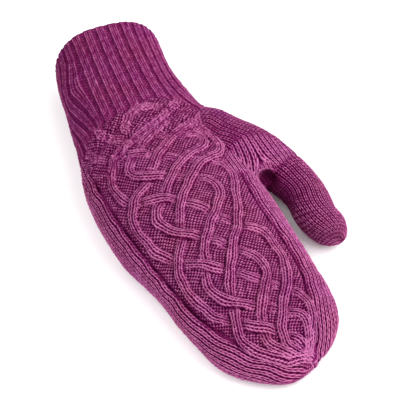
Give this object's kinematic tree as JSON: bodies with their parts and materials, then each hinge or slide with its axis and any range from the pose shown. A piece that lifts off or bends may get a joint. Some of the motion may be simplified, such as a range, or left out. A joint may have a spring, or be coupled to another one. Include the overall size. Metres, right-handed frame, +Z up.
{
  "type": "knitted mitten",
  "caption": "Right-hand knitted wool mitten, palm down, with a ribbed cuff, a braided cable back, plain side bands and a gusseted thumb; bends at wrist, knuckles and thumb.",
  "frame": {"origin": "middle of the footprint, on the surface that the mitten lies on", "axes": "+Y toward the open end of the cuff (the fingertip points to -Y), +X toward the thumb, +Z up out of the back of the hand"},
  "size_m": [0.136, 0.2718, 0.051],
  "materials": {
    "wool_rib": "soft ribbed wool knitting",
    "wool_cable": "soft wool knitting with raised cables on a purl ground",
    "wool_plain": "soft plain stocking-stitch wool",
    "yarn": "plied wool yarn"
  },
  "bodies": {
    "hand": {"cabled_back_panel": "wool_cable", "palm_panel": "wool_plain", "outer_side_band": "wool_plain", "thumb_gusset": "wool_plain", "inner_side_band": "wool_plain", "wrist_gather": "wool_rib", "knuckle_band": "wool_cable", "thumb_base_ring": "wool_plain"},
    "cuff": {"cast_on_edge": "wool_rib", "ribbed_cuff": "wool_rib", "cast_on_tail": "yarn"},
    "fingers": {"finger_back_panel": "wool_cable", "finger_palm_panel": "wool_plain", "finger_outer_band": "wool_plain", "finger_inner_band": "wool_plain", "fingertip_closure": "wool_plain", "tip_tail": "yarn"},
    "thumb": {"thumb_tube": "wool_plain", "thumb_tip_closure": "wool_plain", "thumb_tail": "yarn"}
  },
  "joints": [
    {"name": "wrist_bend", "type": "hinge", "parent": "hand", "child": "cuff", "pos_m": [-0.0124, 0.0485, 0.022], "axis": [0.9962, -0.0872, 0], "range_deg": [-30, 30], "deforming": ["wrist_gather"]},
    {"name": "finger_bend", "type": "hinge", "parent": "hand", "child": "fingers", "pos_m": [-0.0136, -0.0447, 0.018], "axis": [0.9986, 0.0523, 0], "range_deg": [-12, 50], "deforming": ["knuckle_band"]},
    {"name": "thumb_swing", "type": "hinge", "parent": "hand", "child": "thumb", "pos_m": [0.0516, -0.0192, 0.0152], "axis": [0, 0, 1], "range_deg": [-4, 25], "deforming": ["thumb_base_ring"]}
  ]
}
